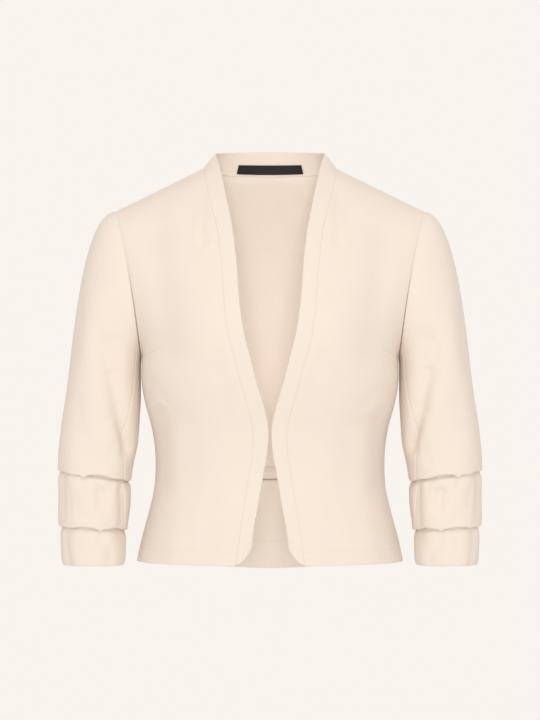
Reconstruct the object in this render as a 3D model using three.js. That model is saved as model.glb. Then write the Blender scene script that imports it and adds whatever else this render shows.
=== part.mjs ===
// A short open-front jacket with a narrow neck band and three-quarter sleeves that are folded in two tucks.
// It keeps the shape of a worn garment and is empty inside.
// Millimetres. +Z is up, the front faces -Y and +X is the wearer's left.
// The origin lies midway between the two points where a shoulder seam meets the neck band.
import * as THREE from "three";

// Cloth and seams
const CLOTH = 1.6; // wall of a single panel
const BAND_CLOTH = 2.2; // wall of the faced neck band
const SLEEVE_CLOTH = 1.4;
const BINDING_CLOTH = 1.0; // tape inside the waist seam
const LABEL_CLOTH = 0.8;
const SEAM_GAP = 0.3;
const LAYER_GAP = 0.4; // from a panel to what lies on it

// Rows of the body, numbered as in the tables below
const WAIST_ROW = 4;
const UNDERARM_ROW = 9;
const LEAN_ROW = 12; // the front band starts to stand off the chest here
const NECK_ROW = 14; // the centre back meets the neck seam here, and higher rows start on that seam
const SHOULDER_ROW = 17;

// Facets
const ARMHOLE_SPANS = 16; // from the underarm to the shoulder, front or back
const FRONT_SPANS = 12; // band seam to side seam
const BAND_SPANS = 3;
const BACK_SPANS = 12; // centre back to side seam
const STAND_SPANS = 3;
const SECTION_SAMPLES = 48;
const CAP_ROWS = 8;
const SLEEVE_COLUMNS = 2 * ARMHOLE_SPANS;
const FRONT_SEAM_COLUMN = 13;
const BACK_SEAM_COLUMN = 20;
const SAME_POINT = 1e-4; // nearer points are one

// Armhole. way is the side of the body, and belly fills the loop towards the underarm.
const UNDERARM = { x: 163, z: -240 };
const SHOULDER_POINT = { x: 195, z: -55 };
const ARMHOLE = {
  front: { way: -1, reach: 58, scoop: 4, belly: 0.15 },
  back: { way: 1, reach: 52, scoop: 2, belly: 0.1 },
};
const ARMHOLE_TILT = 0.24; // how far the seam's normal turns outward, going up
const UNDERARM_LEAN = 2; // how far the two cloths turn away from each other at the underarm

// Side seam from the hem up to the underarm, one entry a row
const SIDE_SEAM = [
  { x: 175, z: -495 },
  { x: 164, z: -468 },
  { x: 155.5, z: -438 },
  { x: 148.8, z: -411 },
  { x: 146, z: -385 },
  { x: 146.3, z: -357 },
  { x: 150, z: -329 },
  { x: 155.5, z: -300 },
  { x: 160, z: -270 },
  { x: 163, z: -240 },
];

// Front sections from the hem to the shoulder seam. z is the height at the band seam. edge and seam are how far
// the open edge and the band seam lie from the centre, and rise lifts the edge above the seam.
// depth is how far forward the section would reach at the centre, and square is the power of its oval.
const FRONT = [
  { z: -498, edge: 25.8, seam: 42.8, rise: 0, depth: 113, square: 2.3 },
  { z: -470, edge: 21.6, seam: 38.8, rise: 0, depth: 110, square: 2.3 },
  { z: -440, edge: 17.6, seam: 34.6, rise: 0, depth: 106.5, square: 2.3 },
  { z: -412, edge: 13.2, seam: 30.4, rise: 0, depth: 103.5, square: 2.3 },
  { z: -385, edge: 8.6, seam: 25.8, rise: 0, depth: 101.5, square: 2.3 },
  { z: -356, edge: 3.6, seam: 21.4, rise: 0, depth: 103, square: 2.35 },
  { z: -328, edge: 2.6, seam: 22, rise: 0, depth: 108, square: 2.4 },
  { z: -300, edge: 8.2, seam: 28.5, rise: 0, depth: 115, square: 2.5 },
  { z: -270, edge: 17.2, seam: 36.9, rise: 0, depth: 122, square: 2.6 },
  { z: -240, edge: 24.8, seam: 44.9, rise: 0, depth: 126.5, square: 2.7 },
  { z: -214, edge: 31.4, seam: 51.3, rise: 0, depth: 127, square: 2.7 },
  { z: -186, edge: 36.2, seam: 55.3, rise: 0, depth: 124.5, square: 2.7 },
  { z: -154, edge: 39.6, seam: 58.2, rise: 0, depth: 117.5, square: 2.6 },
  { z: -118, edge: 42.2, seam: 61.2, rise: 1, depth: 104.5, square: 2.5 },
  { z: -80, edge: 47.5, seam: 66.2, rise: 3, depth: 85, square: 2.5 },
  { z: -44, edge: 55.4, seam: 75, rise: 6, depth: 59, square: 2.5 },
  { z: -14, edge: 63, seam: 82.4, rise: 10, depth: 28, square: 2.5 },
  { z: 0, edge: 70, seam: 84.5, rise: 17, depth: 0, square: 2.5 },
];
const HEM_CORNER = 22; // radius of the rounded lower front corner
const HEM_FADE = 95; // its lift fades out over this height

// Back sections from the hem up. z is the height at the centre back or, above its neck row, on the neck seam.
const BACK = [
  { z: -515, depth: 112, square: 2.2 },
  { z: -484, depth: 106, square: 2.2 },
  { z: -450, depth: 98, square: 2.2 },
  { z: -417, depth: 90, square: 2.2 },
  { z: -386, depth: 84.5, square: 2.2 },
  { z: -356, depth: 85, square: 2.2 },
  { z: -328, depth: 90, square: 2.25 },
  { z: -300, depth: 96.5, square: 2.3 },
  { z: -270, depth: 102.5, square: 2.35 },
  { z: -240, depth: 106.5, square: 2.4 },
  { z: -198, depth: 109, square: 2.45 },
  { z: -152, depth: 108, square: 2.5 },
  { z: -104, depth: 101, square: 2.5 },
  { z: -56, depth: 86.5, square: 2.5 },
  { z: -8, depth: 64, square: 2.5 },
  { z: -6, depth: 57, square: 2.5 },
  { z: -2, depth: 37, square: 2.5 },
  { z: 0, depth: 0, square: 2.5 },
];

// Neck seam, and the top edge of the stand on it, which starts at the bands' upper ends
const NECK = { width: 84.5, depth: 64, square: 2.2 };
const STAND_EDGE = { width: 70, start: 2, depth: 61, z: 17, rise: 6, square: 2.3 };
const SHOULDER_NORMAL = new THREE.Vector3(0.446, 0, 0.895).normalize();
const BAND_NORMAL = new THREE.Vector3(0.76, 0, 0.65).normalize();

// Sleeve by height: how far out its outer and inner sides hang, the middle and half of its depth, how much its
// outer side is higher than the middle, and the angle of the front seam, counted from the outer side forward
const SLEEVE = [
  { z: -262, outer: 256.5, inner: 165.3, y: -4, half: 53, tilt: 0, seam: 148 },
  { z: -295, outer: 260.7, inner: 163.8, y: -4, half: 54, tilt: 1, seam: 141 },
  { z: -320, outer: 264.5, inner: 165.5, y: -5, half: 54, tilt: 3, seam: 137 },
  { z: -345, outer: 267, inner: 167.5, y: -7, half: 53, tilt: 5, seam: 134 },
  { z: -370, outer: 269.5, inner: 173, y: -9.5, half: 51, tilt: 6.5, seam: 141 },
  { z: -390, outer: 270.5, inner: 176, y: -12, half: 49.5, tilt: 7, seam: 146 },
  { z: -420, outer: 270, inner: 178, y: -16, half: 48, tilt: 5.5, seam: 151 },
  { z: -455, outer: 269.6, inner: 181.8, y: -21, half: 46, tilt: 4.5, seam: 160 },
  { z: -480, outer: 266.5, inner: 183.2, y: -24.5, half: 44, tilt: 1.5, seam: 160 },
  { z: -505, outer: 264.3, inner: 184.5, y: -28, half: 42.5, tilt: 0, seam: 160 },
];
const SLEEVE_SQUARE = 2.15;
const BACK_SEAM_ANGLE = 236;
const SLEEVE_RADIUS = 50; // turns a sleeve's angles into lengths for its folds

// How the sleeve head leaves the armhole and joins the arm, at the underarm and at the shoulder
const CAP = {
  underarm: { out: 1, down: 7, join: 7, gather: 0 },
  shoulder: { out: 29, down: 11, join: 115, gather: 12 },
  puff: 4, // to the front and back
};

// The way down the cloth's right side past both tucks: height, and how far it lies inside the sleeve's outline
const TUCK_TURN = 3.6; // the layer folded under
const TUCK_NEXT = 4.4; // the next tier, behind it
const TUCK_ROUND = 0.5;
const SLEEVE_PATH = [
  { z: -262, in: 0 },
  { z: -292, in: 0 },
  { z: -320, in: 0 },
  { z: -346, in: 0 },
  { z: -368, in: 0 },
  { z: -385, in: 0 },
  { z: -389, in: TUCK_ROUND },
  { z: -390.6, in: TUCK_TURN / 2 },
  { z: -389, in: TUCK_TURN - TUCK_ROUND },
  { z: -385, in: TUCK_TURN },
  { z: -377, in: TUCK_TURN },
  { z: -375.4, in: (TUCK_TURN + TUCK_NEXT) / 2 },
  { z: -377, in: TUCK_NEXT },
  { z: -388, in: TUCK_NEXT },
  { z: -399, in: 2.6 },
  { z: -414, in: 0.6 },
  { z: -434, in: 0 },
  { z: -450, in: 0 },
  { z: -454, in: TUCK_ROUND },
  { z: -455.6, in: TUCK_TURN / 2 },
  { z: -454, in: TUCK_TURN - TUCK_ROUND },
  { z: -450, in: TUCK_TURN },
  { z: -443, in: TUCK_TURN },
  { z: -441.4, in: (TUCK_TURN + TUCK_NEXT) / 2 },
  { z: -443, in: TUCK_NEXT },
  { z: -454, in: TUCK_NEXT },
  { z: -463, in: 2.4 },
  { z: -476, in: 0.6 },
  { z: -491, in: 0 },
  { z: -505, in: 0 },
];

// Soft folds: troughs between two ends. On the body these are x and z, on a sleeve its angle and z.
const FRONT_FOLDS = [
  { from: [150, -105], to: [126, -262], width: 14, depth: 3 },
  { from: [84, -50], to: [80, -98], width: 7, depth: 1.6 },
  { from: [134, -318], to: [132, -402], width: 12, depth: 2 },
];
const BACK_FOLDS = [
  { from: [150, -120], to: [118, -290], width: 16, depth: 2 },
  { from: [62, -330], to: [74, -470], width: 16, depth: 3 },
];
const SLEEVE_FOLDS = [
  { from: [84, -212], to: [104, -292], width: 11, depth: 4.5 },
  { from: [104, -292], to: [134, -350], width: 10, depth: 4 },
  { from: [92, -412], to: [92, -430], width: 11, depth: 3 },
  { from: [286, -236], to: [252, -330], width: 12, depth: 4 },
  { from: [340, -300], to: [322, -360], width: 12, depth: 2.5 },
];

// Puckers right under the fold of each tuck: lumps at these angles round the sleeve
const PUCKERS = [
  { under: -397, angles: [14, 52, 86, 108, 130, 196, 238, 262, 302, 336], height: 1.7 },
  { under: -462, angles: [28, 66, 97, 124, 178, 218, 250, 280, 318], height: 1.4 },
];
const PUCKER_SIZE = 9;

// Label and waist binding, by the facets and the share of the height of the piece they lie on
const LABEL = { facets: 1.8, low: 0.1, high: 0.48, spans: 6 };
const BINDING = { low: 0.55, high: 0.97 };

const CREAM = 0xf1e4d6;
const TAPE_COLOUR = 0xe3d3c3;
const BLACK = 0x1f1b1c;
const DEGREE = Math.PI / 180;

// Smooth value of one column of a table at a row number that may lie between rows
function at(table, column, row) {
  const last = table.length - 1;
  const k = Math.min(Math.max(Math.floor(row), 0), last - 1);
  const t = row - k;
  const [b, c] = [table[k][column], table[k + 1][column]];
  const before = k > 0 ? table[k - 1][column] : 2 * b - c;
  const after = k + 2 <= last ? table[k + 2][column] : 2 * c - b;
  const [slopeB, slopeC] = [(c - before) / 2, (after - b) / 2];
  const [t2, t3] = [t * t, t * t * t];
  const ends = b * (2 * t3 - 3 * t2 + 1) + c * (3 * t2 - 2 * t3);
  return ends + slopeB * (t3 - 2 * t2 + t) + slopeC * (t3 - t2);
}

// Row number of the sleeve table at a height
function sleeveRow(z) {
  const last = SLEEVE.length - 1;
  const k = SLEEVE.findIndex((row, i) => i < last && z >= SLEEVE[i + 1].z);
  if (k < 0) return last;
  return Math.max(k + (SLEEVE[k].z - z) / (SLEEVE[k].z - SLEEVE[k + 1].z), 0);
}

// Shares of an oval's width and depth at an angle
function oval(angle, square) {
  const share = (v) => Math.sign(v) * Math.abs(v) ** (2 / square);
  return [share(Math.cos(angle)), share(Math.sin(angle))];
}

// A point of the armhole seam. The angle runs from 0 at the underarm to 180 at the shoulder.
function armholePoint(face, angle) {
  const { way, reach, scoop, belly } = ARMHOLE[face];
  const [sin, cos] = [Math.sin(angle * DEGREE), Math.cos(angle * DEGREE)];
  const up = (1 - cos) / 2;
  return new THREE.Vector3(
    UNDERARM.x + (SHOULDER_POINT.x - UNDERARM.x) * up - scoop * sin * sin,
    way * reach * sin * (1 + belly * cos),
    UNDERARM.z + (SHOULDER_POINT.z - UNDERARM.z) * up,
  );
}

// Normal at the armhole seam, for the body (lean 1), the sleeve (lean -1) or midway between them (lean 0)
function armholeNormal(face, angle, lean) {
  const [sin, cos] = [Math.sin(angle * DEGREE), Math.cos(angle * DEGREE)];
  const apart = lean * UNDERARM_LEAN * ((1 + cos) / 2) ** 2;
  return new THREE.Vector3(ARMHOLE_TILT * (1 - cos) + apart, ARMHOLE[face].way * sin, -cos).normalize();
}

// Half the seam's gap, across the armhole seam from the body towards the sleeve
function armholeGap(face, angle) {
  const along = armholePoint(face, angle + 1).sub(armholePoint(face, angle - 1));
  const across = along.cross(armholeNormal(face, angle, 0)).normalize();
  return across.multiplyScalar((Math.sign(across.x) * SEAM_GAP) / 2);
}

const armholeAngle = (row) => ((row - UNDERARM_ROW) / (SHOULDER_ROW - UNDERARM_ROW)) * 180;

// Where a row of a panel ends: on the side seam or, higher up, on the armhole
function sidePoint(face, row) {
  if (row > UNDERARM_ROW) return armholePoint(face, armholeAngle(row));
  return new THREE.Vector3(at(SIDE_SEAM, "x", row), 0, at(SIDE_SEAM, "z", row));
}

// A point of the neck seam or of the stand's top edge, by its share of the way from the centre to the shoulder
function neckPoint(share) {
  const [x, y] = oval((1 - share) * 90 * DEGREE, NECK.square);
  return new THREE.Vector3(x * NECK.width, y * NECK.depth, BACK[NECK_ROW].z * (1 - share ** 2));
}

function standPoint(share) {
  const { width, start, depth, z, rise, square } = STAND_EDGE;
  const [x, y] = oval((1 - share) * 90 * DEGREE, square);
  return new THREE.Vector3(x * width, start + y * (depth - start), z + rise * y);
}

// One row of a body panel, spread evenly from a distance off the centre out to its side
function sectionRow(face, row, start, spans) {
  const table = face === "front" ? FRONT : BACK;
  const end = sidePoint(face, row);
  const depth = Math.max(at(table, "depth", row), Math.abs(end.y));
  const square = at(table, "square", row);
  const share = depth > 0 ? Math.min(Math.abs(end.y) / depth, 0.99) : 0;
  const width = end.x / (1 - share ** square) ** (1 / square);
  const first = Math.acos((start / width) ** (square / 2));
  const last = Math.asin(share ** (square / 2));
  const line = [];
  for (let i = 0; i <= SECTION_SAMPLES; i++) {
    const [x, y] = oval(first + ((last - first) * i) / SECTION_SAMPLES, square);
    line.push(new THREE.Vector3(x * width, ARMHOLE[face].way * y * depth, 0));
  }
  const points = new THREE.CatmullRomCurve3(line).getSpacedPoints(spans);
  points[spans].set(end.x, end.y, 0);
  const low = at(table, "z", row);
  points.forEach((p, i) => (p.z = low + ((end.z - low) * i) / spans));
  return points;
}

// How much the rounded front corner lifts a row, by the distance from the edge and the height over the hem
function cornerLift(distance, height) {
  const d = Math.min(distance / HEM_CORNER, 1);
  const fade = Math.max(1 - height / HEM_FADE, 0) ** 2;
  return HEM_CORNER * (1 - Math.sqrt(1 - (1 - d) ** 2)) * fade;
}

// One row of the left front: the band from its open edge to its seam, and the panel on to the side
function frontRow(row) {
  const edge = at(FRONT, "edge", row);
  const panel = sectionRow("front", row, at(FRONT, "seam", row), FRONT_SPANS);
  const chest = sectionRow("front", row, edge, BAND_SPANS)[0];
  const stand = Math.max((row - LEAN_ROW) / (SHOULDER_ROW - LEAN_ROW), 0) ** 2;
  const y = THREE.MathUtils.lerp(chest.y, panel[0].y + STAND_EDGE.start, stand);
  const lip = new THREE.Vector3(edge, y, panel[0].z + at(FRONT, "rise", row));
  const band = [];
  for (let i = 0; i < BAND_SPANS; i++) band.push(lip.clone().lerp(panel[0], i / BAND_SPANS));
  const height = panel[0].z - FRONT[0].z;
  const line = [...band, ...panel];
  line.forEach((p) => (p.z += cornerLift(p.x - edge, height)));
  return line;
}

// One row of the left half of the back, from its side to the centre or, higher up, to the neck seam
function backRow(row) {
  const share = Math.max((row - NECK_ROW) / (SHOULDER_ROW - NECK_ROW), 0);
  const neck = neckPoint(share);
  const line = sectionRow("back", row, share > 0 ? neck.x : 0, BACK_SPANS);
  if (share > 0) {
    const miss = neck.sub(line[0]);
    line.forEach((p, i) => p.addScaledVector(miss, 1 - i / BACK_SPANS));
  }
  return line.reverse();
}

// How deep soft folds press in at a place
function foldDepth(folds, x, z, scale = 1) {
  return folds.reduce((sum, fold) => {
    const from = new THREE.Vector2(fold.from[0] * scale, fold.from[1]);
    const way = new THREE.Vector2(fold.to[0] * scale, fold.to[1]).sub(from);
    const here = new THREE.Vector2(x * scale, z).sub(from);
    const share = THREE.MathUtils.clamp(here.dot(way) / way.lengthSq(), 0, 1);
    const away = here.addScaledVector(way, -share).length() / fold.width;
    return sum + fold.depth * Math.exp(-away * away);
  }, 0);
}

// How far the puckers under the tucks stand out at a place on a sleeve
function puckerHeight(angle, z) {
  let out = 0;
  for (const { under, angles, height } of PUCKERS) {
    const down = (z - under) / PUCKER_SIZE;
    for (const middle of angles) {
      const round = ((angle - middle) * DEGREE * SLEEVE_RADIUS) / PUCKER_SIZE;
      out += height * Math.exp(-round * round - down * down);
    }
  }
  return out;
}

// The angle of a sleeve's column at a height. The columns keep to the two seams.
function sleeveAngle(column, z) {
  const front = at(SLEEVE, "seam", sleeveRow(z));
  if (column <= FRONT_SEAM_COLUMN) return (front * column) / FRONT_SEAM_COLUMN;
  const under = (column - FRONT_SEAM_COLUMN) / (BACK_SEAM_COLUMN - FRONT_SEAM_COLUMN);
  if (under <= 1) return front + (BACK_SEAM_ANGLE - front) * under;
  const rest = (column - BACK_SEAM_COLUMN) / (SLEEVE_COLUMNS - BACK_SEAM_COLUMN);
  return BACK_SEAM_ANGLE + (360 - BACK_SEAM_ANGLE) * rest;
}

const sleeveFold = (angle, z) => foldDepth(SLEEVE_FOLDS, angle, z, SLEEVE_RADIUS * DEGREE);

// A point round the arm, a distance inside the sleeve's outline
function armPoint(column, z, inside) {
  const row = sleeveRow(z);
  const angle = sleeveAngle(column, z);
  const [outer, inner] = [at(SLEEVE, "outer", row), at(SLEEVE, "inner", row)];
  const inset = inside + sleeveFold(angle, z) - puckerHeight(angle, z);
  const [x, y] = oval(angle * DEGREE, SLEEVE_SQUARE);
  return new THREE.Vector3(
    (outer + inner) / 2 + x * ((outer - inner) / 2 - inset),
    at(SLEEVE, "y", row) - y * (at(SLEEVE, "half", row) - inset),
    z + at(SLEEVE, "tilt", row) * Math.cos(angle * DEGREE),
  );
}

// One column of the sleeve head, from the armhole down to the arm
function capColumn(column, face, angle) {
  const arm = sleeveAngle(column, SLEEVE_PATH[0].z);
  const inward = new THREE.Vector3(-Math.cos(arm * DEGREE), Math.sin(arm * DEGREE), 0);
  const up = (1 - Math.cos(angle * DEGREE)) / 2;
  const mix = (name) => THREE.MathUtils.lerp(CAP.underarm[name], CAP.shoulder[name], up);
  const puff = ARMHOLE[face].way * CAP.puff * Math.sin(angle * DEGREE);
  const from = armholePoint(face, angle).add(armholeGap(face, angle));
  const to = armPoint(column, SLEEVE_PATH[0].z, 0);
  const leave = from.clone().add(new THREE.Vector3(mix("out"), puff, -mix("down")));
  const join = to.clone().add(new THREE.Vector3(-mix("gather"), 0, mix("join")));
  const curve = new THREE.CubicBezierCurve3(from, leave, join, to);
  return Array.from({ length: CAP_ROWS }, (_, i) => {
    const p = curve.getPoint(i / CAP_ROWS);
    return p.addScaledVector(inward, (sleeveFold(arm, p.z) * i) / CAP_ROWS);
  });
}

// The face and the angle on the armhole where a column of the sleeve starts
function columnStart(column) {
  const angle = 180 - (180 * column) / ARMHOLE_SPANS;
  return [angle >= 0 ? "front" : "back", Math.abs(angle)];
}

// The left sleeve as rings, from the armhole down past both tucks
function sleeveRings() {
  const columns = Array.from({ length: SLEEVE_COLUMNS }, (_, column) => column);
  const cap = columns.map((column) => capColumn(column, ...columnStart(column)));
  const head = Array.from({ length: CAP_ROWS }, (_, i) => columns.map((column) => cap[column][i]));
  return [...head, ...SLEEVE_PATH.map((place) => columns.map((column) => armPoint(column, place.z, place.in)))];
}

// Outward normals of a grid of points, from the points round each one
function normalsOf(grid, closed = false) {
  const across = grid[0].length;
  return grid.map((line, i) =>
    line.map((p, j) => {
      const left = closed ? (j + across - 1) % across : Math.max(j - 1, 0);
      const right = closed ? (j + 1) % across : Math.min(j + 1, across - 1);
      const low = grid[Math.max(i - 1, 0)][j];
      const high = grid[Math.min(i + 1, grid.length - 1)][j];
      const along = line[right].clone().sub(line[left]);
      return along.cross(high.clone().sub(low)).normalize();
    }),
  );
}

// A point moved half a seam's gap towards its neighbour
const step = (p, next) => p.clone().addScaledVector(next.clone().sub(p).normalize(), SEAM_GAP / 2);

// A sheet with one of its edges moved back from the seam, between two rows where they are given
function pull({ grid, normals }, edge, first = 0, last = grid.length - 1) {
  const top = grid.length - 1;
  const moved = grid.map((line, i) => {
    const end = line.length - 1;
    if (edge === "first row") return i === 0 ? line.map((p, j) => step(p, grid[1][j])) : line;
    if (edge === "last row") return i === top ? line.map((p, j) => step(p, grid[top - 1][j])) : line;
    if (i < first || i > last) return line;
    if (edge === "first column") return [step(line[0], line[1]), ...line.slice(1)];
    return [...line.slice(0, end), step(line[end], line[end - 1])];
  });
  return { grid: moved, normals };
}

// Part of a sheet: the rows and the columns from one number to another, past the last column of a ring
function cut({ grid, normals }, rows, columns) {
  const count = grid[0].length;
  const numbers = [];
  for (let j = columns[0]; j <= columns[1]; j++) numbers.push(j % count);
  const take = (g) => g.slice(rows[0], rows[1] + 1).map((line) => numbers.map((j) => line[j]));
  return { grid: take(grid), normals: take(normals) };
}

// The other half that goes with one half of a sheet
function mirrorHalf({ grid, normals }) {
  const turn = (g) => g.map((line) => line.map((p) => new THREE.Vector3(-p.x, p.y, p.z)).reverse());
  return { grid: turn(grid), normals: turn(normals) };
}

// A sheet that lies on the wrong side of another, over some of its rows and columns, and faces inward
function sheetInside({ grid, normals }, rows, columns, depth) {
  const mix = (g, row, column) => {
    const [i, j] = [Math.min(Math.floor(row), g.length - 2), Math.min(Math.floor(column), g[0].length - 2)];
    const low = g[i][j].clone().lerp(g[i][j + 1], column - j);
    const high = g[i + 1][j].clone().lerp(g[i + 1][j + 1], column - j);
    return low.lerp(high, row - i);
  };
  const away = rows.map((row) => columns.map((column) => mix(normals, row, column).normalize().negate()));
  const points = rows.map((row, i) => {
    return columns.map((column, j) => mix(grid, row, column).addScaledVector(away[i][j], depth));
  });
  const turn = (g) => g.map((line) => [...line].reverse());
  return { grid: turn(points), normals: turn(away) };
}

// A closed wall of cloth over one or more sheets that share the points where they touch. Its right side lies
// on the points and its wrong side `thick` behind them, with a rim all round the free edges.
function wallGeometry(sheets, thick, mirrored) {
  const points = [];
  const numbers = new Map();
  const numberOf = (p, normal) => {
    const key = p.toArray().map((v) => Math.round(v / SAME_POINT)).join();
    if (!numbers.has(key)) {
      numbers.set(key, points.length);
      points.push({ right: p, wrong: p.clone().addScaledVector(normal, -thick) });
    }
    return numbers.get(key);
  };
  const faces = [];
  for (const { grid, normals } of sheets) {
    const ids = grid.map((line, i) => line.map((p, j) => numberOf(p, normals[i][j])));
    for (let i = 0; i + 1 < ids.length; i++) {
      for (let j = 0; j + 1 < ids[i].length; j++) {
        faces.push([ids[i][j], ids[i][j + 1], ids[i + 1][j + 1]]);
        faces.push([ids[i][j], ids[i + 1][j + 1], ids[i + 1][j]]);
      }
    }
  }
  const edges = new Set(faces.flatMap(([a, b, c]) => [`${a} ${b}`, `${b} ${c}`, `${c} ${a}`]));
  const behind = points.length;
  const index = [];
  const addFace = (a, b, c) => index.push(...(mirrored ? [a, c, b] : [a, b, c]));
  for (const [a, b, c] of faces) {
    addFace(a, b, c);
    addFace(a + behind, c + behind, b + behind);
  }
  for (const edge of edges) {
    const [a, b] = edge.split(" ").map(Number);
    if (edges.has(`${b} ${a}`)) continue;
    addFace(b, a, a + behind);
    addFace(b, a + behind, b + behind);
  }
  const side = mirrored ? -1 : 1;
  const all = [...points.map((p) => p.right), ...points.map((p) => p.wrong)];
  const geometry = new THREE.BufferGeometry();
  const positions = all.flatMap((p) => [side * p.x, p.y, p.z]);
  geometry.setAttribute("position", new THREE.Float32BufferAttribute(positions, 3));
  geometry.setIndex(index);
  geometry.computeVertexNormals();
  return geometry;
}

const jacket = new THREE.Group();

function addPiece(name, sheets, thick, color, mirrored = false) {
  const material = new THREE.MeshStandardMaterial({ color, roughness: 0.9, metalness: 0 });
  const mesh = new THREE.Mesh(wallGeometry(sheets, thick, mirrored), material);
  mesh.name = name;
  jacket.add(mesh);
}

// The row numbers of the body's facets, and where some of them stand in that list
const bodyRows = [];
for (let row = 0; row < UNDERARM_ROW; row++) bodyRows.push(row);
for (let i = 0; i <= ARMHOLE_SPANS; i++) {
  bodyRows.push(UNDERARM_ROW + ((SHOULDER_ROW - UNDERARM_ROW) * i) / ARMHOLE_SPANS);
}
const top = bodyRows.length - 1;
const waist = bodyRows.indexOf(WAIST_ROW);
const underarm = bodyRows.indexOf(UNDERARM_ROW);
const neck = bodyRows.indexOf(NECK_ROW);

// A body sheet from its points: soft folds are pressed into all but its seams, the normals on the side seam, the
// armhole and the shoulder seam are the ones its neighbours have, and its side is moved off the armhole
function bodySheet(face, points, folds, side, shoulder) {
  const flat = normalsOf(points);
  const onSeam = (i, j) => i === top || j === side || j === shoulder.start;
  const grid = points.map((line, i) =>
    line.map((p, j) => {
      const depth = onSeam(i, j) ? 0 : foldDepth(folds, p.x, p.z);
      return p.clone().addScaledVector(flat[i][j], -depth);
    }),
  );
  const normals = normalsOf(grid);
  bodyRows.forEach((row, i) => {
    const angle = armholeAngle(row);
    normals[i][side] = angle < 0 ? new THREE.Vector3(1, 0, 0) : armholeNormal(face, angle, 1);
    if (angle >= 0) grid[i][side].sub(armholeGap(face, angle));
  });
  normals[top].fill(SHOULDER_NORMAL, Math.min(shoulder.start, side), Math.max(shoulder.start, side) + 1);
  normals[top][shoulder.start] = SHOULDER_NORMAL.clone().add(BAND_NORMAL).normalize();
  return { grid, normals };
}

// Fronts and their bands
const frontEnd = BAND_SPANS + FRONT_SPANS;
const front = bodySheet("front", bodyRows.map(frontRow), FRONT_FOLDS, frontEnd, { start: BAND_SPANS });
front.normals[top].fill(BAND_NORMAL, 0, BAND_SPANS);
for (const mirrored of [false, true]) {
  const side = mirrored ? "right" : "left";
  const panel = pull(pull(cut(front, [0, top], [BAND_SPANS, frontEnd]), "first column"), "last row");
  addPiece("front_" + side, [pull(panel, "last column", 0, underarm)], CLOTH, CREAM, mirrored);
  const band = pull(pull(cut(front, [0, top], [0, BAND_SPANS]), "last column"), "last row");
  addPiece("band_" + side, [band], BAND_CLOTH, CREAM, mirrored);
}

// Back, as a left half that its mirror image completes, and the stand that rises from its neck seam
const back = bodySheet("back", bodyRows.map(backRow), BACK_FOLDS, 0, { start: BACK_SPANS });
for (let i = 0; i <= neck; i++) back.normals[i][BACK_SPANS].setX(0).normalize();
const shares = bodyRows.slice(neck).map((row) => (row - NECK_ROW) / (SHOULDER_ROW - NECK_ROW));
const standGrid = Array.from({ length: STAND_SPANS + 1 }, (_, i) => {
  return shares.map((share) => neckPoint(share).lerp(standPoint(share), i / STAND_SPANS)).reverse();
});
const stand = { grid: standGrid, normals: normalsOf(standGrid) };
stand.normals.forEach((line) => {
  line[0] = BAND_NORMAL;
  line[line.length - 1].setX(0).normalize();
});
for (let i = neck; i < top; i++) {
  const shared = stand.normals[0][top - i].clone().add(back.normals[i][BACK_SPANS]).normalize();
  stand.normals[0][top - i] = shared;
  back.normals[i][BACK_SPANS] = shared;
}
stand.normals[0][0] = back.normals[top][BACK_SPANS];

let upper = pull(pull(cut(back, [waist, top], [0, BACK_SPANS]), "first row"), "last row");
upper = pull(pull(upper, "first column", 0, underarm - waist), "last column", neck - waist + 1);
const collar = upper.grid[neck - waist];
collar[BACK_SPANS] = step(collar[BACK_SPANS], upper.grid[neck - waist - 1][BACK_SPANS]);
addPiece("back_upper", [upper, mirrorHalf(upper)], CLOTH, CREAM);

const peplum = pull(pull(cut(back, [0, waist], [0, BACK_SPANS]), "last row"), "first column");
addPiece("back_peplum", [peplum, mirrorHalf(peplum)], CLOTH, CREAM);

const standHalf = pull(pull(stand, "first row"), "first column");
addPiece("band_back", [standHalf, mirrorHalf(standHalf)], BAND_CLOTH, CREAM);

// Binding along the waist seam and the label, both inside
const bindingRows = [waist - 1 + BINDING.low, waist - 1 + BINDING.high];
const peplumColumns = Array.from({ length: BACK_SPANS + 1 }, (_, j) => j);
const binding = sheetInside(peplum, bindingRows, peplumColumns, CLOTH + LAYER_GAP + BINDING_CLOTH);
addPiece("back_waist_binding", [binding, mirrorHalf(binding)], BINDING_CLOTH, TAPE_COLOUR);

const labelRows = [LABEL.low * STAND_SPANS, 1, LABEL.high * STAND_SPANS];
const labelColumns = Array.from({ length: LABEL.spans / 2 + 1 }, (_, j) => {
  return shares.length - 1 - LABEL.facets * (1 - (2 * j) / LABEL.spans);
});
const label = sheetInside(standHalf, labelRows, labelColumns, BAND_CLOTH + LAYER_GAP + LABEL_CLOTH);
addPiece("label", [label, mirrorHalf(label)], LABEL_CLOTH, BLACK);

// Sleeves, each cut as an upper and an under sleeve
const rings = sleeveRings();
const sleeve = { grid: rings, normals: normalsOf(rings, true) };
for (let column = 0; column < SLEEVE_COLUMNS; column++) {
  sleeve.normals[0][column] = armholeNormal(...columnStart(column), -1);
}
const sleeveRows = [0, rings.length - 1];
const sleeveCuts = {
  upper: [BACK_SEAM_COLUMN, SLEEVE_COLUMNS + FRONT_SEAM_COLUMN],
  under: [FRONT_SEAM_COLUMN, BACK_SEAM_COLUMN],
};
for (const [cutName, columns] of Object.entries(sleeveCuts)) {
  const piece = pull(pull(cut(sleeve, sleeveRows, columns), "first column"), "last column");
  addPiece(`sleeve_${cutName}_left`, [piece], SLEEVE_CLOTH, CREAM);
  addPiece(`sleeve_${cutName}_right`, [piece], SLEEVE_CLOTH, CREAM, true);
}

export default jacket;
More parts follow.
